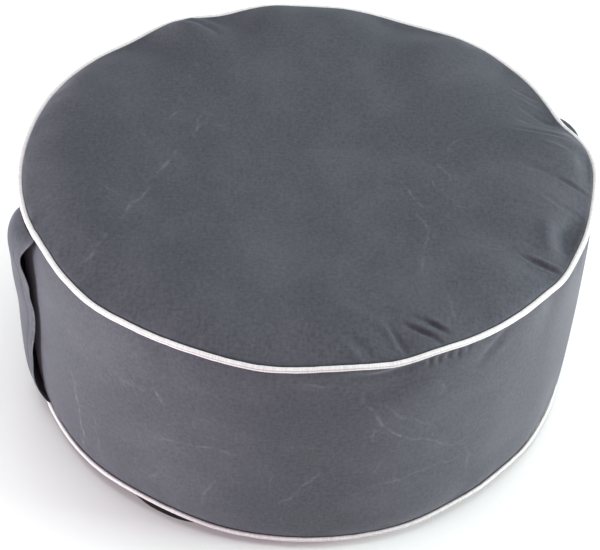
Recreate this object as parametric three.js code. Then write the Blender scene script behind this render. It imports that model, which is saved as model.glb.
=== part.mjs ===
// A round inflatable pouf: a drum of slate-grey woven cloth, blown up tight from inside.
// A round top panel and a round base panel are sewn to a side band, with white piping in
// both seams. A closure flap, sewn into both seams, gapes open on the left of the band.
// Millimetres, +Z up. The origin is the middle of the flat foot, and the front faces -Y.
// Angles are degrees round the drum, from +X towards +Y.
import * as THREE from "three";

const { degToRad, euclideanModulo, lerp, smoothstep } = THREE.MathUtils;

// Driving dimensions of the drum
const SEAM_RADIUS = 267; // both seams lie on this circle before they sway
const SEAM_SPAN = 223; // from the base seam up to the top seam
const BASE_SEAM_HEIGHT = 11; // the base seam clears the floor by this much
const TOP_SEAM_HEIGHT = BASE_SEAM_HEIGHT + SEAM_SPAN;
const CROWN_RISE = 15; // middle of the top panel above its edge
const CROWN_SHOULDER = 92; // the crown rises over this distance in from the seam
const FOOT_SHOULDER = 36; // the base panel curves down to the floor over this distance
const BAND_PUFF = 3.6; // the band swells out this far beside each seam
const BAND_PUFF_LENGTH = 9; // height over which it does most of that
const BAND_BELLY = 1.8; // and this much more half way up

// Driving dimensions of the trim
const PIPING_RADIUS = 2.5;
const PIECE_GAP = 0.3; // clearance between neighbouring pieces
const FLAP_THICKNESS = 1.8; // two layers of cloth, hemmed
const FLAP_ROOT_ANGLE = 190; // where the flap is sewn to the band
const FLAP_EDGE_ANGLE = 207.5; // where its free edge hangs

// Fineness of the facets: the body's rings are set closest where it curves most. They are
// distances in from a seam on the two panels, and shares of the height on the band.
const TURN_STEPS = 144;
const TURN_STEP_ANGLE = 360 / TURN_STEPS;
const FOOT_RINGS = [FOOT_SHOULDER, 25, 15, 7, 0];
const BAND_RINGS = [0, 0.02, 0.05, 0.1, 0.2, 0.35, 0.5, 0.65, 0.78, 0.86, 0.92, 0.96, 0.985, 1];
const CROWN_RINGS = [0, 6, 14, 24, 36, 50, 68, 90, 125, 185];
const PIPING_SIDES = 6;
const FLAP_STEPS_ACROSS = 7;

// The piping lies in a notch between the edges of two panels: each panel's edge sits at
// this turn round the piping from straight out, with this much room.
const NOTCH_EDGE_TURN = 115;
const NOTCH_RADIUS = (PIPING_RADIUS + PIECE_GAP) / Math.cos(degToRad((180 - NOTCH_EDGE_TURN) / 2));

// Swells and dips round the top seam. rise lifts the shoulder of the top panel, pull moves
// the seam outwards and lift moves it up, all in millimetres.
const TOP_SWELLS = [
  { angle: 4, spread: 9, rise: 8, pull: 5, lift: 1.5 },
  { angle: 19, spread: 5, rise: -6, pull: -1.5, lift: -0.5 },
  { angle: 25, spread: 9, rise: -8, pull: -4.5, lift: -1.5 },
  { angle: 39, spread: 6, rise: -4, pull: -1, lift: 0 },
  { angle: 53, spread: 9, rise: 3, pull: 1, lift: 0.5 },
  { angle: 67, spread: 9, rise: -11, pull: -3, lift: -1 },
  { angle: 84, spread: 8, rise: 1, pull: 0.5, lift: 0.5 },
  { angle: 101, spread: 7, rise: 3, pull: 1, lift: 1 },
  { angle: 112, spread: 6, rise: -13, pull: -3, lift: -1.5 },
  { angle: 123, spread: 7, rise: 7, pull: 1.5, lift: 1 },
  { angle: 136, spread: 7, rise: -9, pull: -2, lift: -1.5 },
  { angle: 161, spread: 12, rise: 6, pull: 1, lift: 1 },
  { angle: 190, spread: 10, rise: 3, pull: 0, lift: 0.5 },
  { angle: 211, spread: 6, rise: 1, pull: -2, lift: 0.5 },
  { angle: 229, spread: 6, rise: -3, pull: 1, lift: -1.5 },
  { angle: 246, spread: 9, rise: 3, pull: 0, lift: 0.3 },
  { angle: 264, spread: 8, rise: -1, pull: 1, lift: -2.3 },
  { angle: 278, spread: 6, rise: 2, pull: 0, lift: 0.8 },
  { angle: 288, spread: 5, rise: 0, pull: 0, lift: -2.2 },
  { angle: 296, spread: 6, rise: 1, pull: -1, lift: 0.8 },
  { angle: 315, spread: 6, rise: 4, pull: 0, lift: -0.3 },
  { angle: 329, spread: 5, rise: -3, pull: 1, lift: -4 },
  { angle: 341, spread: 7, rise: -4, pull: 0.5, lift: 0 },
];
const SWELL_PEAK = 28; // a swell is highest this far in from the seam
const SWELL_REACH = 130; // and has died out here
const CREASE_EASE = 4; // a band crease is shallow within about this distance of a seam

// Sway of the base seam, out and up. fill is how much of the foot's shoulder the base panel
// fills out, so that it shows under the seam.
const BASE_SWELLS = [
  { angle: 40, spread: 18, pull: -1.5, lift: 0.5, fill: 0 },
  { angle: 118, spread: 14, pull: 1.2, lift: -0.6, fill: 0 },
  { angle: 176, spread: 12, pull: -1, lift: 0.5, fill: 0 },
  { angle: 228, spread: 12, pull: 1, lift: 0.8, fill: 0 },
  { angle: 239, spread: 11, pull: -0.5, lift: 4.6, fill: 0 },
  { angle: 238.5, spread: 7, pull: 0, lift: 0.2, fill: 0.79 },
  { angle: 249, spread: 7, pull: 0, lift: 1.4, fill: 0.79 },
  { angle: 262, spread: 12, pull: -1, lift: -0.8, fill: 0 },
  { angle: 305, spread: 8, pull: -2.5, lift: 1.8, fill: 0 },
  { angle: 318, spread: 8, pull: -3, lift: 1.6, fill: 0 },
  { angle: 334, spread: 10, pull: -1.2, lift: 0.4, fill: 0 },
];

// Troughs that run in over the top panel from its seam. angle is where one starts, lean is
// how far it turns round the drum by its inner end, and reach is its length.
const TOP_CREASES = [
  { angle: 325.5, lean: -1, reach: 85, width: 8, depth: 3.5 },
  { angle: 330, lean: 12, reach: 45, width: 9, depth: 3.5 },
  { angle: 349, lean: 9, reach: 75, width: 8, depth: 3 },
  { angle: 2, lean: 11, reach: 80, width: 8, depth: 2.5 },
  { angle: 15, lean: 8, reach: 70, width: 8, depth: 2.5 },
  { angle: 40, lean: -4, reach: 60, width: 9, depth: 3 },
  { angle: 59, lean: 3, reach: 55, width: 8, depth: 2.5 },
  { angle: 74, lean: -3, reach: 60, width: 8, depth: 2.5 },
  { angle: 91, lean: 4, reach: 50, width: 8, depth: 2.5 },
  { angle: 117, lean: 4, reach: 90, width: 8, depth: 3 },
  { angle: 129, lean: -5, reach: 60, width: 8, depth: 2.5 },
  { angle: 148, lean: 4, reach: 65, width: 9, depth: 3 },
  { angle: 175, lean: -3, reach: 50, width: 8, depth: 2.5 },
  { angle: 207, lean: -3, reach: 40, width: 8, depth: 3.5 },
  { angle: 228, lean: 3, reach: 45, width: 8, depth: 3 },
  { angle: 272, lean: -4, reach: 40, width: 8, depth: 2 },
  { angle: 281, lean: -9, reach: 60, width: 8, depth: 2.5 },
  { angle: 289.5, lean: -4, reach: 50, width: 8, depth: 3 },
  { angle: 297, lean: -8, reach: 60, width: 8, depth: 4 },
  { angle: 308, lean: -3, reach: 45, width: 8, depth: 2.5 },
];

// Troughs in the band, and a bulge where the depth is below zero. drop is the depth of its
// middle below the top seam, climb is how steeply it runs up to the right seen from outside,
// in degrees.
const BAND_CREASES = [
  { angle: 20, drop: 9, climb: 0, length: 46, width: 8, depth: -11 },
  { angle: 288, drop: 12, climb: 12, length: 50, width: 8, depth: 4 },
  { angle: 298, drop: 14, climb: 75, length: 30, width: 8, depth: 2.5 },
  { angle: 308, drop: 18, climb: 35, length: 50, width: 9, depth: 3.5 },
  { angle: 324, drop: 24, climb: 70, length: 55, width: 10, depth: 3 },
  { angle: 345, drop: 20, climb: 100, length: 45, width: 9, depth: 2.5 },
  { angle: 24, drop: 30, climb: 80, length: 60, width: 11, depth: 3 },
  { angle: 68, drop: 26, climb: 110, length: 50, width: 10, depth: 3 },
  { angle: 112, drop: 28, climb: 75, length: 60, width: 10, depth: 3 },
  { angle: 137, drop: 22, climb: 105, length: 45, width: 9, depth: 3 },
  { angle: 246, drop: 20, climb: 110, length: 40, width: 9, depth: 2 },
  { angle: 334, drop: 205, climb: 65, length: 50, width: 10, depth: 3 },
  { angle: 226, drop: 204, climb: 115, length: 45, width: 9, depth: 2.5 },
  { angle: 276, drop: 206, climb: 80, length: 40, width: 9, depth: 2 },
  { angle: 40, drop: 200, climb: 100, length: 55, width: 10, depth: 3 },
  { angle: 150, drop: 204, climb: 70, length: 50, width: 10, depth: 2.5 },
];

// The closure flap, a row for each section from the base seam (up 0) to the top seam (up 1).
// middle and edge are how far it stands off the band half way across and at its free edge.
// root and sway turn its sewn edge and its free edge round the drum, in degrees.
const FLAP_ROWS = [
  { up: 0, middle: 1, edge: 0.8, root: 3, sway: -0.4 },
  { up: 0.03, middle: 2.5, edge: 2.5, root: 2, sway: -1.2 },
  { up: 0.09, middle: 6.5, edge: 6.5, root: 0.5, sway: -2.4 },
  { up: 0.17, middle: 8, edge: 7.5, root: 0, sway: -2.8 },
  { up: 0.27, middle: 8, edge: 6, root: 0, sway: -1.9 },
  { up: 0.34, middle: 8, edge: 6.8, root: 0, sway: -1.6 },
  { up: 0.42, middle: 8, edge: 4.8, root: 0, sway: -0.6 },
  { up: 0.52, middle: 7.6, edge: 3, root: 0, sway: 0.2 },
  { up: 0.62, middle: 9.8, edge: 2.5, root: 0, sway: 0.4 },
  { up: 0.69, middle: 10.6, edge: 5.5, root: 0, sway: -0.6 },
  { up: 0.76, middle: 10.8, edge: 5, root: 0, sway: 0.2 },
  { up: 0.83, middle: 11.5, edge: 9, root: 0.5, sway: -1 },
  { up: 0.89, middle: 12.5, edge: 11, root: 1.5, sway: -1.6 },
  { up: 0.94, middle: 12, edge: 8, root: 3.5, sway: -0.8 },
  { up: 0.98, middle: 8.5, edge: 4, root: 5.5, sway: 0 },
  { up: 1, middle: 3, edge: 1.2, root: 7, sway: 0 },
];
const FLAP_ROOT_GAP = PIECE_GAP + 0.3; // room for the curve of the band between facets
const FLAP_END_MARGIN = 0.006; // share of the band's height left clear of each piping

// Materials
const slateCloth = new THREE.MeshStandardMaterial({ color: 0x595e66, roughness: 0.85, metalness: 0 });
const whitePiping = new THREE.MeshStandardMaterial({ color: 0xe8e6e2, roughness: 0.7, metalness: 0 });

function turnBetween(angle, place) {
  return euclideanModulo(angle - place + 180, 360) - 180;
}

function hump(distance, width) {
  return Math.exp(-((distance / width) ** 2));
}

function swellAt(table, column, angle) {
  const shares = table.map((row) => row[column] * hump(turnBetween(angle, row.angle), row.spread));
  return shares.reduce((sum, share) => sum + share, 0);
}

// Where the middle of each seam's piping runs
function topSeam(angle) {
  return {
    radius: SEAM_RADIUS + swellAt(TOP_SWELLS, "pull", angle),
    height: TOP_SEAM_HEIGHT + swellAt(TOP_SWELLS, "lift", angle),
  };
}

function baseSeam(angle) {
  return {
    radius: SEAM_RADIUS + swellAt(BASE_SWELLS, "pull", angle),
    height: BASE_SEAM_HEIGHT + swellAt(BASE_SWELLS, "lift", angle),
  };
}

// A point of the notch that holds the piping, at a turn round it from straight out
function notchPoint(seam, turn) {
  return {
    radius: seam.radius + NOTCH_RADIUS * Math.cos(degToRad(turn)),
    height: seam.height + NOTCH_RADIUS * Math.sin(degToRad(turn)),
  };
}

// Depth of the top panel's creases at a distance in from the seam
function topCreaseDepth(angle, inward) {
  return TOP_CREASES.reduce((sum, row) => {
    const along = inward / row.reach;
    if (along >= 1) return sum;
    const across = degToRad(turnBetween(angle, row.angle + row.lean * along)) * SEAM_RADIUS;
    const fade = Math.sin(Math.PI * Math.sqrt(along)) ** 2;
    return sum + row.depth * fade * hump(across, row.width);
  }, 0);
}

function topPanelPoint(angle, inward) {
  const seam = topSeam(angle);
  const fade = Math.max(0, 1 - inward / SWELL_REACH);
  const level = { radius: SEAM_RADIUS, height: lerp(TOP_SEAM_HEIGHT, seam.height, fade) };
  const edge = notchPoint(level, NOTCH_EDGE_TURN);
  const short = Math.max(0, 1 - inward / CROWN_SHOULDER);
  const crown = CROWN_RISE * (1 - short ** 3);
  const swellShare = (inward / SWELL_PEAK) * Math.exp(1 - inward / SWELL_PEAK) * fade;
  const swell = swellAt(TOP_SWELLS, "rise", angle) * swellShare;
  return {
    radius: edge.radius - inward + (seam.radius - SEAM_RADIUS) * fade,
    height: edge.height + crown + swell - topCreaseDepth(angle, inward),
  };
}

// Depth of the band's creases at a distance below the top seam
function bandCreaseDepth(angle, drop) {
  return BAND_CREASES.reduce((sum, row) => {
    const right = degToRad(turnBetween(angle, row.angle)) * SEAM_RADIUS;
    const up = row.drop - drop;
    const cos = Math.cos(degToRad(row.climb));
    const sin = Math.sin(degToRad(row.climb));
    const along = hump(right * cos + up * sin, row.length / 2);
    return sum + row.depth * along * hump(up * cos - right * sin, row.width);
  }, 0);
}

function bandPoint(angle, up) {
  const bottom = notchPoint(baseSeam(angle), NOTCH_EDGE_TURN);
  const top = notchPoint(topSeam(angle), -NOTCH_EDGE_TURN);
  const height = lerp(bottom.height, top.height, up);
  const fromSeam = Math.min(up, 1 - up) * SEAM_SPAN;
  const puff = BAND_PUFF * (1 - Math.exp(-fromSeam / BAND_PUFF_LENGTH));
  const belly = BAND_BELLY * 4 * up * (1 - up);
  const ease = 1 - Math.exp(-fromSeam / CREASE_EASE);
  const crease = bandCreaseDepth(angle, (1 - up) * SEAM_SPAN) * ease;
  const radius = lerp(bottom.radius, top.radius, smoothstep(up, 0, 1));
  return { radius: radius + puff + belly - crease, height };
}

function basePanelPoint(angle, inward) {
  const edge = notchPoint(baseSeam(angle), -NOTCH_EDGE_TURN);
  const short = Math.max(0, 1 - inward / FOOT_SHOULDER);
  const steep = 1 - swellAt(BASE_SWELLS, "fill", angle);
  return { radius: edge.radius - inward * steep, height: edge.height * short ** 2 };
}

// Moves a vertex of a mesh to a point given by its angle, radius and height
function placeVertex(position, index, angle, { radius, height }) {
  const x = radius * Math.cos(degToRad(angle));
  const y = radius * Math.sin(degToRad(angle));
  position.setXYZ(index, x, y, height);
}

// The filled body is a turned profile whose rings are then swelled, creased and drawn in.
function makeBody() {
  const rings = [
    () => ({ radius: 0, height: 0 }),
    ...FOOT_RINGS.map((inward) => (angle) => basePanelPoint(angle, inward)),
    (angle) => notchPoint(baseSeam(angle), 180),
    ...BAND_RINGS.map((up) => (angle) => bandPoint(angle, up)),
    (angle) => notchPoint(topSeam(angle), 180),
    ...CROWN_RINGS.map((inward) => (angle) => topPanelPoint(angle, inward)),
    (angle) => ({ radius: 0, height: topPanelPoint(angle, SEAM_RADIUS).height }),
  ];
  const profile = rings.map((ring) => {
    const { radius, height } = ring(0);
    return new THREE.Vector2(radius, height);
  });
  const geometry = new THREE.LatheGeometry(profile, TURN_STEPS).rotateX(Math.PI / 2);
  const position = geometry.attributes.position;
  for (let index = 0; index < position.count; index += 1) {
    const turnStep = Math.floor(index / rings.length) % TURN_STEPS;
    const angle = turnStep * TURN_STEP_ANGLE;
    placeVertex(position, index, angle, rings[index % rings.length](angle));
  }
  return geometry;
}

// Piping is a round cord that follows the sway of its seam.
function makePiping(seamAt) {
  const geometry = new THREE.TorusGeometry(SEAM_RADIUS, PIPING_RADIUS, PIPING_SIDES, TURN_STEPS);
  const position = geometry.attributes.position;
  for (let index = 0; index < position.count; index += 1) {
    const turnStep = (index % (TURN_STEPS + 1)) % TURN_STEPS;
    const side = Math.floor(index / (TURN_STEPS + 1)) % PIPING_SIDES;
    const turn = (side / PIPING_SIDES) * Math.PI * 2;
    const seam = seamAt(turnStep * TURN_STEP_ANGLE);
    const radius = seam.radius + PIPING_RADIUS * Math.cos(turn);
    const height = seam.height + PIPING_RADIUS * Math.sin(turn);
    placeVertex(position, index, turnStep * TURN_STEP_ANGLE, { radius, height });
  }
  return geometry;
}

// How far the flap stands off the band, from its root (across 0) to its free edge (across 1)
function flapGape(row, across) {
  return row.middle * 4 * across * (1 - across) + row.edge * across * (2 * across - 1);
}

// The flap is a thin block whose sections are bent round the band and lifted off it.
function makeFlap() {
  const rows = FLAP_ROWS.length - 1;
  const geometry = new THREE.BoxGeometry(1, 1, 1, FLAP_STEPS_ACROSS, rows, 1);
  const position = geometry.attributes.position;
  for (let index = 0; index < position.count; index += 1) {
    const across = position.getX(index) + 0.5;
    const row = FLAP_ROWS[Math.round((position.getY(index) + 0.5) * rows)];
    const outer = position.getZ(index) + 0.5;
    const angle = lerp(FLAP_ROOT_ANGLE + row.root, FLAP_EDGE_ANGLE + row.sway, across);
    const band = bandPoint(angle, lerp(FLAP_END_MARGIN, 1 - FLAP_END_MARGIN, row.up));
    const radius = band.radius + FLAP_ROOT_GAP + flapGape(row, across) + outer * FLAP_THICKNESS;
    placeVertex(position, index, angle, { radius, height: band.height });
  }
  return geometry;
}

function named(name, geometry, material) {
  const mesh = new THREE.Mesh(geometry, material);
  mesh.name = name;
  return mesh;
}

const pouf = new THREE.Group();
pouf.add(named("pouf_body", makeBody(), slateCloth));
pouf.add(named("top_piping", makePiping(topSeam), whitePiping));
pouf.add(named("base_piping", makePiping(baseSeam), whitePiping));
pouf.add(named("closure_flap", makeFlap(), slateCloth));

export default pouf;
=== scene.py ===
# %% [markdown]
# # A round inflatable pouf in a piped cover
# The pouf is a drum of slate-grey woven cloth, blown up tight from inside. White piping is sewn
# into its top and base seams, and a closure flap gapes open on the left of the side band. The
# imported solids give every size. This lesson dresses them with cloth that puckers at its seams.

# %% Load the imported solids
import math

import bpy
import numpy as np
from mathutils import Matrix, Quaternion, Vector


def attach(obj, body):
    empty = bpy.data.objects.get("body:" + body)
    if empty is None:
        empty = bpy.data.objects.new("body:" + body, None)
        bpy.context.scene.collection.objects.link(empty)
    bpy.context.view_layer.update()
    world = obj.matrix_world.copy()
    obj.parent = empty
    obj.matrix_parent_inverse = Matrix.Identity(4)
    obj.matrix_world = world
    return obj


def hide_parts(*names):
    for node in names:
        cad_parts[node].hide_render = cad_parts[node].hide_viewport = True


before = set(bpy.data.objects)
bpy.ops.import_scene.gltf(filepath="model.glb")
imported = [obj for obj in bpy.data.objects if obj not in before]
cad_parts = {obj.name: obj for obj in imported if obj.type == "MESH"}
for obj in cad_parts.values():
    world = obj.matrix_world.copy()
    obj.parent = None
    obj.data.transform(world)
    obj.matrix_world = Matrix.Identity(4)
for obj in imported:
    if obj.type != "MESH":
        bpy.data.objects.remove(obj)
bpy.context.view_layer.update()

# %% [markdown]
# ## Reading the seams
# Both seams sway in and out as the cloth pulls on them. The piping solids already follow that
# sway, so the middle of each one is read back as a radius and a height for every angle round
# the drum. Everything that is sewn to a seam later asks for it here. On the right, a little to
# the back, a tuck draws the top seam in further, so that a sliver of the band shows beyond it.

# %% Where the two seams run
MM = 0.001
SEAM_STEPS = 144
TUCK_ANGLE = 17.5
TUCK_SPREAD = 5.5
TUCK_DEPTH = 3.2 * MM


def vertex_places(piece):
    """The vertices of a mesh as an array with a row for each."""
    places = np.empty(len(piece.data.vertices) * 3)
    piece.data.vertices.foreach_get("co", places)
    return places.reshape(-1, 3)


def set_vertex_places(piece, places):
    piece.data.vertices.foreach_set("co", places.astype(np.float32).ravel())
    piece.data.update()


def round_the_drum(places):
    """Angle in degrees, radius and height of each place."""
    angle = np.degrees(np.arctan2(places[:, 1], places[:, 0])) % 360
    return angle, np.hypot(places[:, 0], places[:, 1]), places[:, 2]


def read_seam(node):
    """A function from angle to the radius and height of the middle of a piping solid."""
    angle, radius, height = round_the_drum(vertex_places(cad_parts[node]))
    step = np.round(angle / 360 * SEAM_STEPS).astype(int) % SEAM_STEPS
    count = np.bincount(step, minlength=SEAM_STEPS)
    turns = np.arange(SEAM_STEPS) * 360 / SEAM_STEPS
    mean_radius = np.bincount(step, radius, SEAM_STEPS) / count
    mean_height = np.bincount(step, height, SEAM_STEPS) / count

    def seam(at):
        return (np.interp(at, turns, mean_radius, period=360),
                np.interp(at, turns, mean_height, period=360))

    return seam, float(mean_radius.mean()), float(mean_height.mean())


def turned_from(angle, middle):
    """Degrees from a middle angle to each angle, between -180 and 180."""
    return (angle - middle + 180) % 360 - 180


def tuck(angle):
    """How far the top seam is drawn in at each angle."""
    return TUCK_DEPTH * np.exp(-(turned_from(angle, TUCK_ANGLE) / TUCK_SPREAD) ** 2)


def top_seam(at):
    radius, height = solid_top_seam(at)
    return radius - tuck(at), height


solid_top_seam, SEAM_RADIUS, TOP_HEIGHT = read_seam("top_piping")
base_seam, base_radius, BASE_HEIGHT = read_seam("base_piping")
print("seam radii", round(SEAM_RADIUS, 4), round(base_radius, 4))
print("seam heights", round(TOP_HEIGHT, 4), round(BASE_HEIGHT, 4))

# %% [markdown]
# ## The camera
# The photograph looks down on the pouf from the front with a long lens, turned a little
# clockwise. Both seams are circles of one size, so their ellipses in the picture fix the
# height, the distance and the lens. The camera aims at the middle of the drum, and a small
# shift puts that point where the photograph has it.

# %% Camera at the photograph's angle
CAMERA_ELEVATION = 41.8
CAMERA_DISTANCE = 1.5205
CAMERA_LENS = 92.3
CAMERA_ROLL = 2.76
CAMERA_SHIFT = (-0.005, -0.0385)

aim = Vector((0, 0, (BASE_HEIGHT + TOP_HEIGHT) / 2))
rise = math.radians(CAMERA_ELEVATION)
camera_data = bpy.data.cameras.new("camera")
camera_data.lens = CAMERA_LENS
camera_data.shift_x, camera_data.shift_y = CAMERA_SHIFT
camera = bpy.data.objects.new("camera", camera_data)
bpy.context.scene.collection.objects.link(camera)
camera.location = aim + CAMERA_DISTANCE * Vector((0, -math.cos(rise), math.sin(rise)))
camera.rotation_mode = "QUATERNION"
level = (aim - camera.location).to_track_quat("-Z", "Y")
camera.rotation_quaternion = level @ Quaternion((0, 0, 1), math.radians(CAMERA_ROLL))
bpy.context.scene.camera = camera
print("camera", [round(v, 3) for v in camera.location])

# %% [markdown]
# ## The cover
# The cover is a top panel, a side band and a base panel sewn into one drum. It could be drawn
# afresh, but its solid already has the swells and the main creases, so a copy of that mesh is
# merged, turned back into quads and smoothed by subdivision. That gives even cloth to simulate.
# The foot is one wide fan of faces, so a ring is inset in it first, or smoothing would shrink it.
# Then the tuck draws in the cloth beside it.

# %% Copy the filled solid and make it smooth cloth
MERGE_REACH = 0.01 * MM
QUAD_LIMIT = math.radians(70)
FOOT_RING = 4 * MM
FOOT_LEVEL = 0.05 * MM
TUCK_REACH = 60 * MM
TUCK_HANG = 3 * MM


def select_only(piece):
    bpy.ops.object.select_all(action="DESELECT")
    piece.select_set(True)
    bpy.context.view_layer.objects.active = piece


def subdivide(piece, levels):
    select_only(piece)
    finer = piece.modifiers.new("finer", "SUBSURF")
    finer.levels = levels
    finer.render_levels = levels
    bpy.ops.object.modifier_apply(modifier=finer.name)


def cloth_from_node(node, name):
    """A quad mesh in the form of a solid."""
    piece = bpy.data.objects.new(name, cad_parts[node].data.copy())
    bpy.context.scene.collection.objects.link(piece)
    piece.data.materials.clear()
    for old in list(piece.data.uv_layers):
        piece.data.uv_layers.remove(old)
    select_only(piece)
    bpy.ops.mesh.customdata_custom_splitnormals_clear()
    bpy.ops.object.mode_set(mode="EDIT")
    bpy.ops.mesh.select_all(action="SELECT")
    bpy.ops.mesh.remove_doubles(threshold=MERGE_REACH)
    bpy.ops.mesh.tris_convert_to_quads(face_threshold=QUAD_LIMIT, shape_threshold=QUAD_LIMIT)
    bpy.ops.object.mode_set(mode="OBJECT")
    return piece


def face_centres(piece):
    centres = np.empty(len(piece.data.polygons) * 3)
    piece.data.polygons.foreach_get("center", centres)
    return centres.reshape(-1, 3)


def edit_faces(piece, chosen):
    """Goes into edit mode with just the chosen faces selected."""
    select_only(piece)
    bpy.ops.object.mode_set(mode="EDIT")
    bpy.ops.mesh.select_mode(type="FACE")
    bpy.ops.mesh.select_all(action="DESELECT")
    bpy.ops.object.mode_set(mode="OBJECT")
    piece.data.polygons.foreach_set("select", chosen)
    bpy.ops.object.mode_set(mode="EDIT")


cover = cloth_from_node("pouf_body", "pouf_cover")
edit_faces(cover, face_centres(cover)[:, 2] < FOOT_LEVEL)
bpy.ops.mesh.inset(thickness=FOOT_RING)
bpy.ops.object.mode_set(mode="OBJECT")
subdivide(cover, 1)
start = vertex_places(cover)
angle, radius, height = round_the_drum(start)
seam_radius, seam_height = solid_top_seam(angle)
drop = seam_height - height
share_of_top = np.clip(1 - (seam_radius - radius) / TUCK_REACH, 0, 1) ** 2
share_of_band = np.exp(-((drop - TUCK_HANG) / TUCK_HANG) ** 2)
share = np.where(drop < TUCK_HANG, share_of_top, share_of_band)
start[:, :2] *= (1 - tuck(angle) * share / np.maximum(radius, MM))[:, None]
set_vertex_places(cover, start)
print("cover", len(cover.data.vertices), "vertices", len(cover.data.polygons), "faces")

# %% [markdown]
# ## Small puckers where the cloth is eased into the seams
# A flat panel's edge is longer than the seam it is sewn to, so it takes up in small puckers
# that run away from the seam at odd slants. The simulation alone would make them all alike, so
# they are pressed in before it, as soft troughs with a low ridge on either side. Their places
# come from a seeded draw. They are deepest at the right front and the left back, where the cloth
# is slack.

# %% Press seeded puckers into the cloth beside each seam
PIN_REACH = 5.5 * MM
FOOT_LIFT = 3 * MM
SLACK_ANGLE = 340
TOP_PUCKERS = 70
BAND_PUCKERS = 60
SEED = 11


def seam_distance(places, seam):
    angle, radius, height = round_the_drum(places)
    seam_radius, seam_height = seam(angle)
    return np.hypot(radius - seam_radius, height - seam_height)


def vertex_normals(piece):
    normals = np.empty(len(piece.data.vertices) * 3)
    piece.data.vertices.foreach_get("normal", normals)
    return normals.reshape(-1, 3)


def pucker_depths(places, seam, on_band, count, draw):
    """How far each place is pushed out, beside one seam and on one side of it."""
    angle, radius, height = round_the_drum(places)
    away = seam_distance(places, seam)
    belongs = ((height < top_seam(angle)[1]) == on_band) & (height > 2 * FOOT_LIFT)
    push = np.zeros(len(places))
    for _ in range(count):
        at = draw.uniform(0, 360)
        length = draw.uniform(18, 55) * MM
        slant = draw.uniform(-0.5, 0.5)
        width = draw.uniform(9, 18) * MM
        slack = 0.45 + 0.55 * math.cos(math.radians(at - SLACK_ANGLE)) ** 2
        depth = draw.uniform(0.4, 1.6) * MM * slack
        turn = np.radians(turned_from(angle, at))
        across = ((turn * SEAM_RADIUS - slant * away) / width) ** 2
        fade = np.sin(math.pi * np.sqrt(np.clip(away / length, 0, 1))) ** 2
        push -= np.where(belongs, depth * (1 - 2 * across) * np.exp(-across) * fade, 0)
    return push


draw = np.random.default_rng(SEED)
nearest = np.minimum(seam_distance(start, top_seam), seam_distance(start, base_seam))
fixed = (nearest < PIN_REACH) | (start[:, 2] < FOOT_LIFT)
push = pucker_depths(start, top_seam, False, TOP_PUCKERS, draw)
push += pucker_depths(start, top_seam, True, BAND_PUCKERS, draw)
push += pucker_depths(start, base_seam, True, BAND_PUCKERS, draw)
push[fixed] = 0
set_vertex_places(cover, start + vertex_normals(cover) * push[:, None])
print("puckers from", round(push.min() / MM, 2), "to", round(push.max() / MM, 2), "mm")

# %% [markdown]
# ## Air in the cover
# Air pushes the cloth tight between its puckers. Blender's cloth simulation does this: seams
# and foot are pinned, the middle of each panel is held more and more firmly away from the
# seams, a little spare cloth is given beside them, and pressure fills the drum. A cap keeps
# each point close to where the solid has it.

# %% Pins and spare cloth
HOLD_FROM = 40 * MM
HOLD_FULL = 100 * MM
SPARE_REACH = 30 * MM


def weigh(piece, name, weights):
    """A vertex group with a weight for each vertex."""
    group = piece.vertex_groups.new(name=name)
    for index, weight in enumerate(weights):
        if weight > 0.001:
            group.add([index], float(weight), "REPLACE")


hold = np.clip((nearest - HOLD_FROM) / (HOLD_FULL - HOLD_FROM), 0, 1)
weigh(cover, "pins", np.where(fixed, 1, hold))
weigh(cover, "spare", np.exp(-(nearest / SPARE_REACH) ** 2))
print("pinned", int(fixed.sum()), "of", len(start))

# %% Blow it up
SIM_FRAMES = 20
MOVE_CAP = 5 * MM


def blow_up(piece):
    select_only(piece)
    air = piece.modifiers.new("air", "CLOTH")
    air.point_cache.frame_start = 1
    air.point_cache.frame_end = SIM_FRAMES
    air.collision_settings.use_collision = False
    cloth = air.settings
    cloth.quality = 5
    cloth.mass = 0.2
    cloth.tension_stiffness = 30
    cloth.compression_stiffness = 30
    cloth.shear_stiffness = 12
    cloth.bending_stiffness = 2
    cloth.vertex_group_mass = "pins"
    cloth.vertex_group_shrink = "spare"
    cloth.shrink_min = 0
    cloth.shrink_max = -0.04
    cloth.use_pressure = True
    cloth.uniform_pressure_force = 2
    cloth.effector_weights.gravity = 0
    for number in range(1, SIM_FRAMES + 1):
        bpy.context.scene.frame_set(number)
    bpy.ops.object.modifier_apply(modifier=air.name)
    bpy.context.scene.frame_set(1)


blow_up(cover)
moved = vertex_places(cover) - start
reach = np.linalg.norm(moved, axis=1)
capped = moved * np.minimum(1, MOVE_CAP / np.maximum(reach, 1e-9))[:, None]
set_vertex_places(cover, start + capped)
cover.vertex_groups.clear()
print("moved up to", round(reach.max() / MM, 2), "mm, typically", round(np.median(reach) / MM, 2))

# %% [markdown]
# ## Finer cloth
# The simulation leaves a slight grain in the mesh. Two passes of smoothing take it out, and then
# the mesh is subdivided. The sharpest creases come at the front and the right, beside the top
# seam, and they need smaller faces than the rest. Splitting only the faces there keeps the count
# low.

# %% Smooth out the grain of the mesh, then make it finer
select_only(cover)
bpy.ops.object.mode_set(mode="EDIT")
bpy.ops.mesh.select_all(action="DESELECT")
bpy.ops.object.mode_set(mode="OBJECT")
cover.data.vertices.foreach_set("select", ~fixed)
bpy.ops.object.mode_set(mode="EDIT")
bpy.ops.mesh.vertices_smooth(factor=0.5, repeat=2)
bpy.ops.object.mode_set(mode="OBJECT")
subdivide(cover, 1)
print("cover", len(cover.data.vertices), "vertices", len(cover.data.polygons), "faces")

# %% Make the mesh finer still where the sharpest creases come
FINE_TOP = 72 * MM
FINE_BAND = 40 * MM
FINE_FROM = 276
FINE_BAND_TO = 318
FINE_TOP_TO = 32

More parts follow.
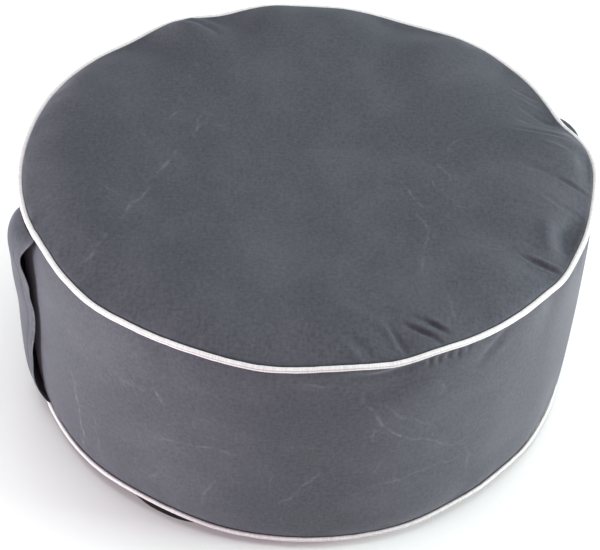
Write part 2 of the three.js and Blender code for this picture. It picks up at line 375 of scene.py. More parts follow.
angle, radius, height = round_the_drum(face_centres(cover))
seam_radius, seam_height = top_seam(angle)
drop = seam_height - height
fine_top = ((angle > FINE_FROM) | (angle < FINE_TOP_TO)) & (drop < 0)
fine_top &= radius > seam_radius - FINE_TOP
fine_band = (angle > FINE_FROM) & (angle < FINE_BAND_TO) & (drop > 0) & (drop < FINE_BAND)
edit_faces(cover, fine_top | fine_band)
bpy.ops.mesh.subdivide(number_cuts=1)
bpy.ops.object.mode_set(mode="OBJECT")
print("split", int((fine_top | fine_band).sum()), "faces, now", len(cover.data.polygons))

# %% [markdown]
# ## The creases that show
# A few creases are deeper than puckers and give this pouf its own face: a sharp one at the right
# front with a pleat beside it, a fan of folds on the right, dimples at the front and the left, and
# a dent under the piping at the front. The simulation wouldn't put them where the photograph has
# them. So each is a short line on the cloth, pressed in as a soft trough, or raised as a ridge
# where its depth is below zero.

# %% Creases of the top panel and of the band
# Each row is a line of (angle, mm from the seam), then its width and depth in mm, and the share
# of its depth that a ridge stands up beside it: on the line's left if above zero, on its right if
# below.
TOP_CREASES = (
    (((329.2, 0), (327.8, 20), (326.2, 40)), 1.9, 3.2, -0.6),
    (((328.6, 34), (326.2, 50), (322.9, 63), (318.4, 76)), 2.6, 1.3, -0.5),
    (((331.0, 30), (330.6, 46)), 2.2, 0.9, 0),
    (((341.0, 36), (336.0, 31), (331.5, 18)), 8.0, -3.5, 0),
    (((346.5, 8), (340.0, 15), (333.5, 9)), 11.0, 7.5, 0),
    (((355.0, 7), (6.0, 7)), 10.0, 4.0, 0),
    (((352.3, 1), (353.4, 20), (354.5, 36)), 1.8, 2.4, -0.5),
    (((354.0, 30), (356.5, 54), (359.0, 84)), 3.6, 1.3, -0.4),
    (((343.8, 34), (342.0, 60), (341.0, 82)), 3.0, 1.0, -0.4),
    (((346.0, 3), (346.3, 30), (349.0, 52)), 2.8, 1.0, 0.5),
    (((26.4, 4), (32.5, 28)), 2.6, 1.3, 0.4),
    (((22.5, 8), (30.0, 36)), 3.0, -1.0, 0),
    (((16.9, 6), (26.0, 36)), 2.6, 1.5, 0),
    (((12.8, 12), (21.0, 46)), 2.6, 1.0, 0.4),
    (((9.2, 20), (15.1, 62)), 2.8, 1.3, 0.4),
    (((3.0, 24), (7.4, 50)), 3.2, -1.2, 0),
    (((296.6, 7), (295.6, 12), (291.3, 29)), 1.9, 3.0, -0.6),
    (((299.0, 9), (298.3, 13), (295.2, 28)), 1.9, 2.7, -0.6),
    (((297.6, 1), (295.7, 9)), 2.0, 1.6, 0),
    (((290.2, 2), (289.0, 20), (288.0, 36)), 2.6, 2.2, 0.4),
    (((295.2, 28), (293.5, 36)), 2.2, 1.2, 0),
    (((281.6, 2), (278.4, 18)), 5.0, -1.6, 0),
    (((289.0, 18), (285.7, 37), (280.9, 48), (275.6, 62)), 6.0, -1.7, 0),
    (((283.2, 4), (279.0, 30)), 6.0, 1.7, 0),
    (((203.8, 1), (203.7, 21)), 5.0, 2.0, 0.3),
    (((197.0, 3), (200.0, 24)), 7.0, 0.8, 0),
    (((224.8, 0), (225.5, 8), (227.0, 19)), 3.0, 1.4, 0.4),
    (((221.9, 5), (223.5, 22)), 6.0, 0.9, 0),
    (((122.5, 10), (119.0, 24), (117.5, 40), (118.0, 60)), 5.0, 2.5, 0.5),
)
BAND_CREASES = (
    (((278.0, 31), (287.0, 25), (296.0, 17)), 12.0, 2.4, 0),
    (((278.0, 12), (285.0, 12.5), (289.0, 10.5), (294.0, 6)), 4.5, 2.4, 0),
    (((10.5, 7), (16.5, 7), (23.5, 7)), 5.5, -6.5, 0),
    (((294.6, 3), (294.2, 15)), 2.2, 1.3, 0),
    (((296.4, 3), (296.0, 16)), 2.2, 1.3, 0),
    (((298.3, 3), (297.9, 14)), 2.2, 1.2, 0),
    (((300.3, 3), (300.0, 16)), 2.2, 1.2, 0),
    (((302.4, 3), (301.9, 13)), 2.2, 0.9, 0),
    (((313.3, 3), (309.0, 17), (304.4, 32)), 5.0, 1.4, 0.4),
)
# The base panel swells out a little under its seam at the front left.
BASE_PUFF = 1.1 * MM
BASE_PUFF_ANGLE = 243.5
BASE_PUFF_SPREAD = 9
# A crease moves nothing nearer to a seam than the first of these, and is at its full depth from
# the second.
SEAM_STILL = 2.5 * MM
SEAM_FREE = 8.5 * MM
print("creases", len(TOP_CREASES), "on the top panel,", len(BAND_CREASES), "on the band")

# %% Press the creases into the cloth
BAND_DEPTH = 8 * MM
BASE_CLEAR = 3 * MM
FLOOR_CLEAR = 0.3 * MM


def line_distance(flat, ends):
    """Signed distance of each flat place from a bent line, and how far along it that is, 0 to 1."""
    best = np.full(len(flat), np.inf)
    along = np.zeros(len(flat))
    lengths = [np.linalg.norm(b - a) for a, b in zip(ends, ends[1:])]
    run = 0
    for a, b, length in zip(ends, ends[1:], lengths):
        way = (b - a) / length
        share = np.clip((flat - a) @ way, 0, length)
        gap = flat - a - share[:, None] * way
        distance = np.linalg.norm(gap, axis=1)
        left = np.sign(way[0] * gap[:, 1] - way[1] * gap[:, 0])
        closer = distance < np.abs(best)
        best = np.where(closer, distance * np.where(left < 0, -1, 1), best)
        along = np.where(closer, (run + share) / sum(lengths), along)
        run += length
    return best, along


def press_creases(push, flat, belongs, rows, flatten):
    for line, width, depth, ridge in rows:
        ends = [np.array(flatten(angle, inset * MM)) for angle, inset in line]
        off, along = line_distance(flat, ends)
        off = off / (width * MM)
        fade = np.sin(math.pi * np.clip(along, 0.02, 0.98)) ** 0.7
        trough = np.exp(-off ** 2)
        crest = abs(ridge) * np.exp(-((off - 2 * math.copysign(1, ridge)) / 1.3) ** 2)
        push -= np.where(belongs, depth * MM * fade * (trough - crest), 0)


def on_top_panel(angle, inset):
    radius = float(top_seam(angle)[0]) - inset
    return radius * math.cos(math.radians(angle)), radius * math.sin(math.radians(angle))


def on_side_band(angle, drop):
    return math.radians(angle) * SEAM_RADIUS, float(top_seam(angle)[1]) - drop


places = vertex_places(cover)
angle, radius, height = round_the_drum(places)
from_seam = np.minimum(seam_distance(places, top_seam), seam_distance(places, base_seam))
above = height > top_seam(angle)[1]
on_band = ~above & (radius > SEAM_RADIUS - BAND_DEPTH)
unrolled = np.stack([np.radians(angle) * SEAM_RADIUS, height], 1)
push = np.zeros(len(places))
press_creases(push, places[:, :2], above, TOP_CREASES, on_top_panel)
press_creases(push, unrolled, on_band, BAND_CREASES, on_side_band)
low = (height < base_seam(angle)[1] - BASE_CLEAR) & (height > FLOOR_CLEAR)
puff = BASE_PUFF * np.exp(-((angle - BASE_PUFF_ANGLE) / BASE_PUFF_SPREAD) ** 2)
push += np.where(low, puff, 0)
push *= np.clip((from_seam - SEAM_STILL) / (SEAM_FREE - SEAM_STILL), 0, 1)
pressed = places + vertex_normals(cover) * push[:, None]
pressed[:, 2] = np.maximum(pressed[:, 2], 0)
set_vertex_places(cover, pressed)
print("creases from", round(push.min() / MM, 2), "to", round(push.max() / MM, 2), "mm")

# %% [markdown]
# ## Pale fold lines
# The cover was stored folded, and its coating has cracked pale along the folds. The lines are
# far finer than the mesh. So each vertex keeps its signed distance from the nearest line: that
# runs evenly over a face, and the material can draw a sharp line where it passes zero.

# %% Where the fold lines run
# Each row is a line of (angle, mm from the seam), then how pale it is, 0 to 1.
TOP_FOLDS = (
    (((220.2, 9), (220.6, 21), (220.2, 32), (218.4, 43), (216.7, 53)), 0.7),
    (((214.9, 66), (213.5, 78), (210.4, 86), (208.7, 98), (205.2, 112)), 0.9),
    (((202.3, 116), (198.0, 125), (190.8, 138), (183.4, 147)), 0.8),
    (((175.4, 156), (168.3, 161), (159.9, 163), (151.7, 160)), 0.8),
    (((207.3, 82), (203.0, 77), (199.3, 70)), 0.4),
    (((149.5, 118), (152.7, 133), (156.1, 143)), 0.6),
    (((131.0, 87), (133.8, 103)), 0.5),
    (((137.0, 97), (142.1, 119)), 0.5),
    (((153.6, 105), (155.9, 117)), 0.4),
    (((174.4, 107), (179.6, 116), (181.2, 123)), 0.5),
    (((168.4, 122), (163.4, 130), (155.7, 138)), 0.5),
    (((334.6, 174), (329.1, 158), (325.3, 143), (322.6, 128)), 0.6),
    (((317.7, 139), (317.6, 126), (316.2, 115), (313.3, 107), (309.0, 102), (305.0, 89),
      (302.0, 70)), 0.8),
    (((354.8, 148), (349.6, 137), (343.3, 131)), 0.6),
    (((343.3, 147), (335.3, 137)), 0.7),
    (((11.3, 123), (5.9, 136), (1.4, 140)), 0.7),
    (((339.6, 137), (334.7, 125), (332.9, 115), (332.3, 105)), 0.4),
    (((303.5, 46), (302.5, 32), (301.0, 19)), 0.5),
    (((205.3, 45), (208.1, 55), (209.1, 68)), 0.4),
    (((159.5, 172), (162.8, 183), (166.8, 190)), 0.4),
)
BAND_FOLDS = (
    (((220.3, 106), (222.0, 113), (222.8, 134), (223.3, 166), (223.3, 195), (222.4, 223)), 1.0),
    (((227.8, 136), (228.3, 166), (228.8, 205)), 0.5),
    (((235.4, 66), (238.6, 66), (242.1, 69)), 0.7),
    (((242.8, 59), (243.9, 65), (245.1, 74)), 1.0),
    (((241.1, 122), (245.5, 119), (250.6, 115), (255.0, 110), (257.7, 110), (260.9, 106)), 0.7),
    (((241.1, 184), (244.2, 168), (245.7, 153)), 0.6),
    (((252.9, 194), (253.5, 172), (254.5, 158), (255.9, 146)), 0.7),
    (((267.2, 173), (269.8, 158), (272.3, 143), (275.9, 121)), 0.7),
    (((266.0, 144), (266.3, 120)), 0.4),
    (((265.4, 91), (271.1, 90), (276.9, 95)), 0.4),
    (((266.9, 183), (268.5, 192), (269.1, 204)), 0.4),
    (((281.4, 27), (282.5, 42), (284.9, 59), (288.1, 83), (291.6, 94), (296.4, 109),
      (305.0, 135)), 0.9),
    (((283.9, 40), (287.1, 52), (290.1, 65), (293.5, 78), (297.2, 95)), 0.6),
    (((285.8, 68), (284.5, 79), (283.9, 91)), 0.5),
    (((305.1, 136), (306.2, 155), (306.1, 173)), 0.7),
    (((280.1, 159), (284.7, 151), (289.8, 146), (294.6, 144), (299.5, 145), (305.9, 153)), 0.6),
    (((283.4, 139), (285.9, 123), (288.3, 106)), 0.5),
    (((296.1, 31), (298.0, 46), (296.7, 54)), 0.5),
    (((270.6, 15), (273.7, 17), (276.9, 22)), 0.6),
)
FOLD_REACH = 8 * MM
print("fold lines", len(TOP_FOLDS), "on the top panel,", len(BAND_FOLDS), "on the band")

# %% Keep the distance from the nearest fold line on each vertex


def mark_folds(offset, pale_share, flat, belongs, rows, flatten):
    for line, pale in rows:
        ends = [np.array(flatten(angle, inset * MM)) for angle, inset in line]
        off, along = line_distance(flat, ends)
        near = pale * np.exp(-(off / FOLD_REACH) ** 2) * np.sin(math.pi * along) ** 0.5
        closest = belongs & (near > pale_share)
        offset[closest] = off[closest]
        pale_share[closest] = near[closest]


def keep_on_vertices(piece, name, values):
    layer = piece.data.attributes.new(name, "FLOAT", "POINT")
    layer.data.foreach_set("value", values.astype(np.float32))


fold_offset = np.full(len(places), FOLD_REACH)
fold_wear_and_edge_highlight = np.zeros(len(places))
mark_folds(fold_offset, fold_wear_and_edge_highlight, places[:, :2], above, TOP_FOLDS, on_top_panel)
mark_folds(fold_offset, fold_wear_and_edge_highlight, unrolled, on_band, BAND_FOLDS, on_side_band)
keep_on_vertices(cover, "fold_offset", fold_offset)
keep_on_vertices(cover, "fold_wear_and_edge_highlight", fold_wear_and_edge_highlight)
print("fold lines touch", int((fold_wear_and_edge_highlight > 0.1).sum()), "vertices")

# %% [markdown]
# ## Cloth lying flat: the UV map
# A weave runs straight across the flat cut panels, and up and down the band. Blender could unwrap
# the mesh, but two short formulas keep the map in true metres of cloth. The warp lies along V: it
# runs across the panels from side to side and up the band. The change from one to the other hides
# under the piping.

# %% Map the cover in metres of cloth
MAPPED_DEPTH = 6 * MM


def corner_vertices(piece):
    corners = np.empty(len(piece.data.loops), int)
    piece.data.loops.foreach_get("vertex_index", corners)
    return corners


def face_of_corners(piece):
    sizes = np.empty(len(piece.data.polygons), int)
    piece.data.polygons.foreach_get("loop_total", sizes)
    return np.repeat(np.arange(len(sizes)), sizes)


def corner_turns(piece):
    """Angle of each face corner in radians, with no jump inside a face."""
    turn = np.radians(round_the_drum(vertex_places(piece))[0])[corner_vertices(piece)]
    middle = np.radians(round_the_drum(face_centres(piece))[0])[face_of_corners(piece)]
    return middle + (turn - middle + math.pi) % (2 * math.pi) - math.pi


def write_cloth_map(piece, across, along):
    layer = piece.data.uv_layers.new(name="cloth")
    layer.data.foreach_set("uv", np.stack([across, along], 1).astype(np.float32).ravel())


def map_cover(piece):
    places = vertex_places(piece)[corner_vertices(piece)]
    face_angle, face_radius, face_height = round_the_drum(face_centres(piece))
    band = (face_height < top_seam(face_angle)[1]) & (face_height > base_seam(face_angle)[1])
    band &= face_radius > SEAM_RADIUS - MAPPED_DEPTH
    on_band = band[face_of_corners(piece)]
    across = np.where(on_band, corner_turns(piece) * SEAM_RADIUS, places[:, 1])
    along = np.where(on_band, places[:, 2], places[:, 0])
    write_cloth_map(piece, across, along)
    return int(band.sum())


print("band faces", map_cover(cover))
select_only(cover)
bpy.ops.object.shade_smooth()

# %% [markdown]
# ## Piping
# Piping is a cord wrapped in a bias-cut strip and caught in the seam. A bevelled curve would do,
# but a torus already closes on itself in even quads. It is added at the right size, and each of
# its vertices is moved to follow the sway of the seam. Sewing leaves it a little uneven, and its
# ends overlap in a slight lump at the left. The weight of the pouf has drawn the base piping a
# little thinner.

# %% Two rings of piping
PIPING_RADIUS = 2.5 * MM
PIPING_STEPS = 576
PIPING_SIDES = 14
JOIN_ANGLE = 207
JOIN_LENGTH = 5 * MM
JOIN_SWELL = 0.14
SWELL = 0.03
DRIFT = 0.15 * MM
BASE_THICKNESS = 0.82


def uneven(angle, draw, waves):
    """An unevenness round the ring, about one unit high."""
    total = np.zeros(len(angle))
    for wave in waves:
        total += draw.normal() * np.cos(np.radians(angle) * wave + draw.uniform(0, 2 * math.pi))
    return total / math.sqrt(len(waves))


def make_piping(name, seam, thickness, draw):
    bpy.ops.object.select_all(action="DESELECT")
    bpy.ops.mesh.primitive_torus_add(
        major_radius=SEAM_RADIUS, minor_radius=PIPING_RADIUS,
        major_segments=PIPING_STEPS, minor_segments=PIPING_SIDES)
    piece = bpy.context.object
    piece.name = name
    places = vertex_places(piece)
    angle, radius, height = round_the_drum(places)
    seam_radius, seam_height = seam(angle)
    from_join = np.radians(turned_from(angle, JOIN_ANGLE)) * SEAM_RADIUS
    swell = thickness + SWELL * uneven(angle, draw, range(21, 90, 7))
    swell += JOIN_SWELL * np.exp(-(from_join / JOIN_LENGTH) ** 2)
    turn = np.radians(angle)
    around = np.arctan2(height, radius - SEAM_RADIUS)
    drift = DRIFT * uneven(angle, draw, range(30, 120, 9))
    new_radius = seam_radius + (radius - SEAM_RADIUS) * swell
    places[:, 0] = new_radius * np.cos(turn)
    places[:, 1] = new_radius * np.sin(turn)
    places[:, 2] = seam_height + height * swell + drift
    set_vertex_places(piece, places)
    for old in list(piece.data.uv_layers):
        piece.data.uv_layers.remove(old)
    write_cloth_map(piece, corner_turns(piece) * SEAM_RADIUS,
                    around[corner_vertices(piece)] * PIPING_RADIUS)
    bpy.ops.object.shade_smooth()
    return piece


top_piping = make_piping("top_piping_ring", top_seam, 1, draw)
base_piping = make_piping("base_piping_ring", base_seam, BASE_THICKNESS, draw)
print("piping", len(top_piping.data.vertices), "vertices a ring")

# %% [markdown]
# ## The closure flap
# The flap is a hemmed strip of the same cloth, sewn to the band along its hidden edge and caught
# in both seams, so it stands off the band between them. A plane could be draped there, but the
# solid already has the gape and the wavy edge, so the flap starts as a finer copy of it. Its sewn
# edge is drawn in to the band, so that no light comes through there. A row of stitches pinches it
# beside the free edge, and a pale line like the folds is painted along that edge as a highlight.

# %% Flap from its solid
HEM = 9.5 * MM
STITCH_PINCH = 0.8 * MM
STITCH_WIDTH = 1.8 * MM
SEWN_REACH = 9 * MM
SEWN_SINK = 1.5 * MM
# How far in from the free edge the painted highlight runs
EDGE_HIGHLIGHT_INSET = 0.8 * MM
SLICE = 4 * MM

flap = cloth_from_node("closure_flap", "closure_flap_cloth")
subdivide(flap, 3)
places = vertex_places(flap)
angle, radius, height = round_the_drum(places)
arc = np.radians(angle - angle.min()) * SEAM_RADIUS


def arc_by_height(pick):
    """One edge of the flap, as the arc that pick takes from each slice of its height."""
    lows = np.arange(height.min(), height.max() - SLICE / 2, SLICE)
    arcs = [pick(arc[(height >= low) & (height < low + SLICE)]) for low in lows]
    return np.interp(height, lows + SLICE / 2, arcs)


from_root = arc - arc_by_height(np.min)
from_edge = arc_by_height(np.max) - arc
from_end = np.minimum(height - height.min(), height.max() - height)
nearest_sewn = np.minimum(from_root, from_end)
sewn = np.clip(1 - nearest_sewn / SEWN_REACH, 0, 1) ** 2 * SEWN_SINK
pinch = STITCH_PINCH * np.exp(-((from_edge - HEM) / STITCH_WIDTH) ** 2)
turn = np.radians(angle)
inward = -np.stack([np.cos(turn), np.sin(turn), np.zeros(len(turn))], 1)
set_vertex_places(flap, places + inward * sewn[:, None] - vertex_normals(flap) * pinch[:, None])
write_cloth_map(flap, corner_turns(flap) * SEAM_RADIUS, height[corner_vertices(flap)])
# A pale line painted just in from the free edge stands for its highlight.
keep_on_vertices(flap, "fold_offset", from_edge - EDGE_HIGHLIGHT_INSET)
keep_on_vertices(flap, "fold_wear_and_edge_highlight", np.exp(-(from_edge / FOLD_REACH) ** 2))
select_only(flap)
bpy.ops.object.shade_smooth()
print("flap", len(flap.data.vertices), "vertices, up to", round(arc.max() / MM), "mm wide")

# %% [markdown]
# ## Materials
# Colours are sRGB hex values, and one function makes them linear. Another adds a node, sets its
# properties and sockets, and links other nodes into it, so each material below reads as a list
# of what the real surface has. There are no images: each pattern's scale starts from a real size.

# %% Helpers for materials


def linear(hex_colour):
    """An sRGB hex value as linear RGBA."""
    shares = [int(hex_colour[i:i + 2], 16) / 255 for i in (1, 3, 5)]
    return (*[s / 12.92 if s <= 0.04045 else ((s + 0.055) / 1.055) ** 2.4 for s in shares], 1)


def add(material, kind, settings, links=None):
    """Adds a node, sets its properties and sockets, and links other nodes' outputs into it."""
    node = material.node_tree.nodes.new(kind)
    for name, value in settings.items():
        if isinstance(name, str) and hasattr(node, name):
            setattr(node, name, value)
        else:
            node.inputs[name].default_value = value
    for name, output in (links or {}).items():
        material.node_tree.links.new(output, node.inputs[name])
    return node


def new_material(name):
    material = bpy.data.materials.new(name)
    material.use_nodes = True
    material.node_tree.nodes.clear()
    return material


print("middle grey in linear light", round(linear("#808080")[0], 3))

# %% [markdown]
# ## Slate woven polyester
# The cover is plain-woven polyester with a thin coating. From a step away it is matt, with
# fine streaks where threads vary in thickness, faint smudges of dust, and the pale fold lines.
# Its threads are 0.45 mm apart, far below a pixel, so they are drawn five times coarser
# to show at all, and the fold lines, about 0.5 mm wide, are drawn five times wider and fainter.

# %% Unevenness of the woven cloth
THREAD = 0.45 * MM
DRAWN_THREAD = 5 * THREAD
STREAK_LENGTH = 7 * MM
SLUB = 3.4 * MM
# Each unevenness of the cloth: its size across and along in metres, and how detailed it is
GRAINS = {
    "warp": (DRAWN_THREAD, STREAK_LENGTH, 1),
    "weft": (STREAK_LENGTH, DRAWN_THREAD, 1),
    "slub": (SLUB, SLUB, 1),
    "dust": (110 * MM, 80 * MM, 5),
    "wander": (22 * MM, 22 * MM, 1),
    "breaks": (9 * MM, 9 * MM, 3),
}


def cloth_grains(material, cloth):
    """Noise over the flat cloth for each unevenness."""
    grains = {}
    for name, (across, along, detail) in GRAINS.items():
        place = add(material, "ShaderNodeMapping", {"Scale": (1 / across, 1 / along, 1)},
                    {"Vector": cloth.outputs["UV"]})
        grains[name] = add(material, "ShaderNodeTexNoise", {
            "noise_dimensions": "2D", "Scale": 1, "Detail": detail, "Roughness": 0.6},
            {"Vector": place.outputs["Vector"]}).outputs[0]
    return grains


print("threads drawn", round(DRAWN_THREAD / MM, 2), "mm apart")

# %% [markdown]
# ## Worn folds
# A crack in the coating runs along each fold, wanders a little and has small side cracks. The
# attributes made earlier say how far each spot is from the line and how worn it is. On the flap
# the same line is a painted highlight along the free edge. Cells with pale edges add the side
# cracks, and a noise breaks the whole up along its way.

# %% Worn folds
FOLD_WIDTH = 2.6 * MM
FOLD_WANDER = 1.8 * MM
CRACK_CELL = 13 * MM


def fold_and_edge_paleness(material, cloth, grains):
    """How pale the cloth is, 0 to 1: worn folds, and the painted highlight on the flap's edge."""
    offset = add(material, "ShaderNodeAttribute", {"attribute_name": "fold_offset"})
    wander = add(material, "ShaderNodeMapRange", {
        "interpolation_type": "SMOOTHSTEP", "From Min": 0.25, "From Max": 0.75,
        "To Min": -FOLD_WANDER, "To Max": FOLD_WANDER}, {"Value": grains["wander"]})
    wandered = add(material, "ShaderNodeMath", {"operation": "ADD"},
                   {0: offset.outputs["Fac"], 1: wander.outputs[0]})
    away = add(material, "ShaderNodeMath", {"operation": "ABSOLUTE"}, {0: wandered.outputs[0]})
    line = add(material, "ShaderNodeMapRange", {
        "interpolation_type": "SMOOTHSTEP", "From Min": 0.0, "From Max": FOLD_WIDTH,
        "To Min": 1.0, "To Max": 0.0}, {"Value": away.outputs[0]})
    cells = add(material, "ShaderNodeMapping", {"Scale": (1 / CRACK_CELL, 1 / CRACK_CELL, 1)},
                {"Vector": cloth.outputs["UV"]})
    cracks = add(material, "ShaderNodeTexVoronoi", {
        "voronoi_dimensions": "2D", "feature": "DISTANCE_TO_EDGE", "Scale": 1},
        {"Vector": cells.outputs["Vector"]})
    branches = add(material, "ShaderNodeMapRange", {
        "interpolation_type": "SMOOTHSTEP", "From Min": 0.0, "From Max": 0.1,
        "To Min": 0.4, "To Max": 0.0}, {"Value": cracks.outputs["Distance"]})
    cracked = add(material, "ShaderNodeMath", {"operation": "MAXIMUM"},
                  {0: line.outputs[0], 1: branches.outputs[0]})
    pale_share = add(material, "ShaderNodeAttribute", {"attribute_name": "fold_wear_and_edge_highlight"})
    breaks = add(material, "ShaderNodeMapRange", {
        "interpolation_type": "SMOOTHSTEP", "From Min": 0.34, "From Max": 0.7,
        "To Min": 0.05, "To Max": 0.22}, {"Value": grains["breaks"]})
    broken_paleness = add(material, "ShaderNodeMath", {"operation": "MULTIPLY"},
               {0: pale_share.outputs["Fac"], 1: breaks.outputs[0]})
    return add(material, "ShaderNodeMath", {"operation": "MULTIPLY"},
               {0: cracked.outputs[0], 1: broken_paleness.outputs[0]}).outputs[0]


print("fold lines drawn", round(FOLD_WIDTH / MM, 1), "mm wide")

# %% Slate woven polyester


def slate_polyester():
    material = new_material("slate_woven_polyester")
    cloth = add(material, "ShaderNodeUVMap", {"uv_map": "cloth"})
    grains = cloth_grains(material, cloth)
    # Warp and weft threads of uneven thickness give the eye a fine cross-grain, and thick slubs
    # here and there keep it from looking ruled.
    threads = add(material, "ShaderNodeMix", {"data_type": "FLOAT", 0: 0.5},
                  {2: grains["warp"], 3: grains["weft"]})
    grain = add(material, "ShaderNodeMix", {"data_type": "FLOAT", 0: 0.45},
                {2: threads.outputs[0], 3: grains["slub"]}).outputs[0]
    streaked = add(material, "ShaderNodeValToRGB", {}, {"Fac": grain})
    dark, light = streaked.color_ramp.elements
    dark.position = 0.3
    dark.color = linear("#34373c")
    light.position = 0.7
    light.color = linear("#464950")
    # Dust keeps the wide tone from looking flat.
    dust = add(material, "ShaderNodeMapRange", {
        "interpolation_type": "SMOOTHSTEP", "From Min": 0.35, "From Max": 0.8,
        "To Min": 0.0, "To Max": 0.12}, {"Value": grains["dust"]})
    dusted = add(material, "ShaderNodeMix", {"data_type": "RGBA", 7: linear("#7b7c81")},
                 {0: dust.outputs[0], 6: streaked.outputs["Color"]})
    # Folds show as pale broken lines of wear, and the flap's free edge gets a painted highlight.
    colour = add(material, "ShaderNodeMix", {"data_type": "RGBA", 7: linear("#9da0a6")},
                 {0: fold_and_edge_paleness(material, cloth, grains), 6: dusted.outputs[2]})
    bump = add(material, "ShaderNodeBump", {"Strength": 0.3, "Distance": 0.25 * MM},
               {"Height": grain})
    # A matt surface with a little sheen lifts the tone where the cloth turns away.
    shader = add(material, "ShaderNodeBsdfPrincipled", {
        "Roughness": 0.72, "Specular IOR Level": 0.3, "IOR": 1.53,
        "Sheen Weight": 0.2, "Sheen Roughness": 0.45, "Sheen Tint": linear("#c8ccd4")},
        {"Base Color": colour.outputs[2], "Normal": bump.outputs["Normal"]})
    add(material, "ShaderNodeOutputMaterial", {}, {"Surface": shader.outputs["BSDF"]})
    return material


slate = slate_polyester()
cover.data.materials.append(slate)
flap.data.materials.append(slate)
print("cover and flap:", slate.name, len(slate.node_tree.nodes), "nodes")

# %% [markdown]
# ## Black base cloth
# Where the base panel shows under the piping at the front left it is nearly black. It could be
# a mesh of its own, but the panel is sewn into the same cover, so the faces below the base seam
# just take a second material, a near-black one.

# %% Black base cloth


def near_black_base():
    material = new_material("near_black_base_cloth")
    # Almost no colour of its own, and a soft dull shine
    shader = add(material, "ShaderNodeBsdfPrincipled", {
        "Base Color": linear("#0c0c0d"), "Roughness": 0.7, "Specular IOR Level": 0.15})
    add(material, "ShaderNodeOutputMaterial", {}, {"Surface": shader.outputs["BSDF"]})
    return material


cover.data.materials.append(near_black_base())
face_angle, face_radius, face_height = round_the_drum(face_centres(cover))
below = face_height < base_seam(face_angle)[1]
cover.data.polygons.foreach_set("material_index", below.astype(np.int32))
print("base faces", int(below.sum()))

# %% [markdown]
# ## White bias tape
# The piping's strip is cut on the bias, so its threads wind round the cord at a slant. It is a
# clean white polyester, a little dull, with fine slanting ribs. The edge of the strip shows as a
# thin grey line, painted shade where that edge lies on the cord. Its ribs, like the threads of
# the cover, are drawn coarser than they are so that they show. On the base ring the underside of
# the tape is darkened with painted shade near the floor.

# %% White bias tape
TAPE_EDGE = math.radians(20) * PIPING_RADIUS
# Width of the grey line at the strip's edge, which is painted shade
TAPE_SHADE_LINE = 0.35 * MM
RIB = 1.4 * MM
RIB_LENGTH = 9 * MM
# Painted shade on the base ring's underside: how far round the cord it fades in, and where it
# starts
SHADE_DEPTH = 1 * MM
SHADE_FROM = -0.3 * MM
NEVER_SHADED = -math.pi * PIPING_RADIUS


def white_tape(name, shaded_below):
    """White tape with painted shade on the side that lies lower round the cord than shaded_below.
    """
    material = new_material(name)
    tape = add(material, "ShaderNodeUVMap", {"uv_map": "cloth"})
    around = add(material, "ShaderNodeSeparateXYZ", {}, {0: tape.outputs["UV"]}).outputs["Y"]
    slant = add(material, "ShaderNodeMapping", {
        "Rotation": (0, 0, math.radians(45)), "Scale": (1 / RIB, 1 / RIB_LENGTH, 1)},
        {"Vector": tape.outputs["UV"]})
    ribs = add(material, "ShaderNodeTexNoise", {
        "noise_dimensions": "2D", "Scale": 1, "Detail": 1}, {"Vector": slant.outputs["Vector"]})
    bump = add(material, "ShaderNodeBump", {"Strength": 0.4, "Distance": 0.2 * MM},
               {"Height": ribs.outputs[0]})
    toned = add(material, "ShaderNodeValToRGB", {}, {"Fac": ribs.outputs[0]})
    dark, light = toned.color_ramp.elements
    dark.position = 0.3
    dark.color = linear("#cbccc8")
    light.position = 0.7
    light.color = linear("#dbdcd9")
    # The edge of the strip gives a thin grey line along the cord, painted shade where the edge lies
    # on the cord.
    edge = add(material, "ShaderNodeMath", {"operation": "COMPARE", 1: TAPE_EDGE, 2: TAPE_SHADE_LINE},
               {0: around})
    edge_shaded = add(material, "ShaderNodeMix", {"data_type": "RGBA", 7: linear("#aaa7a8")},
                {0: edge.outputs[0], 6: toned.outputs["Color"]})
    # Painted shade comes in softly on the underside.
    underside_shade = add(material, "ShaderNodeMapRange", {
        "From Min": shaded_below, "From Max": shaded_below - SHADE_DEPTH, "To Min": 0.0, "To Max": 0.9},
        {"Value": around})
    shaded = add(material, "ShaderNodeMix", {"data_type": "RGBA", 7: linear("#3c393c")},
                 {0: underside_shade.outputs[0], 6: edge_shaded.outputs[2]})
    shader = add(material, "ShaderNodeBsdfPrincipled", {
        "Roughness": 0.65, "Specular IOR Level": 0.25},
        {"Base Color": shaded.outputs[2], "Normal": bump.outputs["Normal"]})
    add(material, "ShaderNodeOutputMaterial", {}, {"Surface": shader.outputs["BSDF"]})
    return material


top_piping.data.materials.append(white_tape("white_polyester_bias_tape", NEVER_SHADED))
# The base ring gets painted shade on the underside of its tape.
base_piping.data.materials.append(white_tape("white_polyester_bias_tape_painted_shade", SHADE_FROM))
print("piping:", [ring.data.materials[0].name for ring in (top_piping, base_piping)])

# %% [markdown]
# ## Floor and light
# The photograph was taken against white. A broad light above gives the top its even tone, and a
# weak pink one fills the front. Two lights on each side, the larger one further out, lift the
# ends of the band. The floor is a touch green, which takes the blush of the front light out of
# the shadow on it.

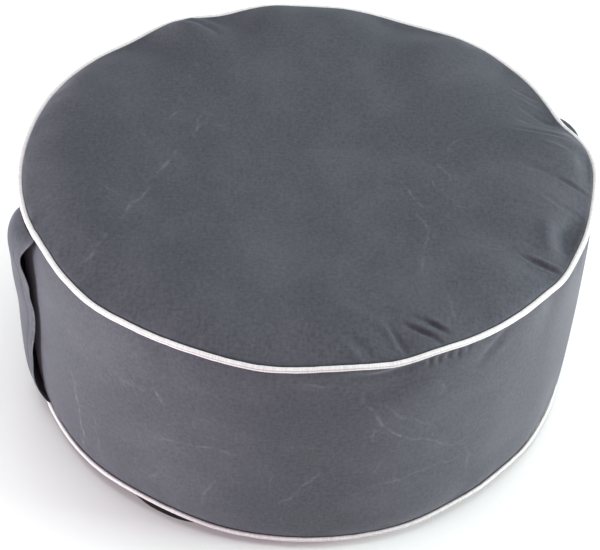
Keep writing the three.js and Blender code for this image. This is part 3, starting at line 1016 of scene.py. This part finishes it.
# %% Pale floor
bpy.ops.object.select_all(action="DESELECT")
bpy.ops.mesh.primitive_plane_add(size=14)
floor = bpy.context.object
floor.name = "pale_floor"
floor_paint = new_material("pale_floor_paint")
floor_shader = add(floor_paint, "ShaderNodeBsdfPrincipled", {
    "Base Color": linear("#f6fcf7"), "Roughness": 0.9, "Specular IOR Level": 0.1})
add(floor_paint, "ShaderNodeOutputMaterial", {}, {"Surface": floor_shader.outputs["BSDF"]})
floor.data.materials.append(floor_paint)
print("floor", floor.dimensions[0], "m")

# %% Studio light


def softbox(name, place, size, power, colour):
    lamp = bpy.data.lights.new(name, "AREA")
    lamp.shape = "RECTANGLE"
    lamp.size, lamp.size_y = size
    lamp.energy = power
    lamp.color = linear(colour)[:3]
    box = bpy.data.objects.new(name, lamp)
    bpy.context.scene.collection.objects.link(box)
    box.location = place
    box.rotation_mode = "QUATERNION"
    box.rotation_quaternion = (aim - Vector(place)).to_track_quat("-Z", "Y")
    return box


SOFTBOXES = (
    ("top_softbox", (0, 0.3, 2.4), (2.2, 2.2), 51, "#fbfbff"),
    ("front_softbox", (0, -2.2, 1.8), (1.6, 1.2), 15, "#ffc4e2"),
    ("left_strip", (-1.81, -0.85, 0.14), (1.0, 0.26), 36, "#ffecf8"),
    ("left_card", (-1.1, -0.3, 0.16), (0.5, 0.3), 3.5, "#f0ffff"),
    ("right_strip", (1.1, -0.3, 0.3), (0.5, 0.3), 10.5, "#ffe6ee"),
    ("right_softbox", (2.0, -0.2, 0.8), (1.0, 0.8), 20, "#b0fff4"),
)
for row in SOFTBOXES:
    softbox(*row)
world = bpy.data.worlds.new("white_room")
world.use_nodes = True
background = world.node_tree.nodes["Background"]
background.inputs["Color"].default_value = (1, 1, 1, 1)
background.inputs["Strength"].default_value = 0.3
bpy.context.scene.world = world
bpy.context.scene.view_settings.view_transform = "Standard"
print("lights", [row[0] for row in SOFTBOXES])

# %% [markdown]
# ## Handing over
# Each piece rides on the pouf's one body and stands for its solid.

for piece, node, slot in (
        (cover, "pouf_body", "cover_cloth"), (flap, "closure_flap", "cover_cloth"),
        (top_piping, "top_piping", "piping_cloth"), (base_piping, "base_piping", "piping_cloth")):
    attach(piece, "root")
    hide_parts(node)
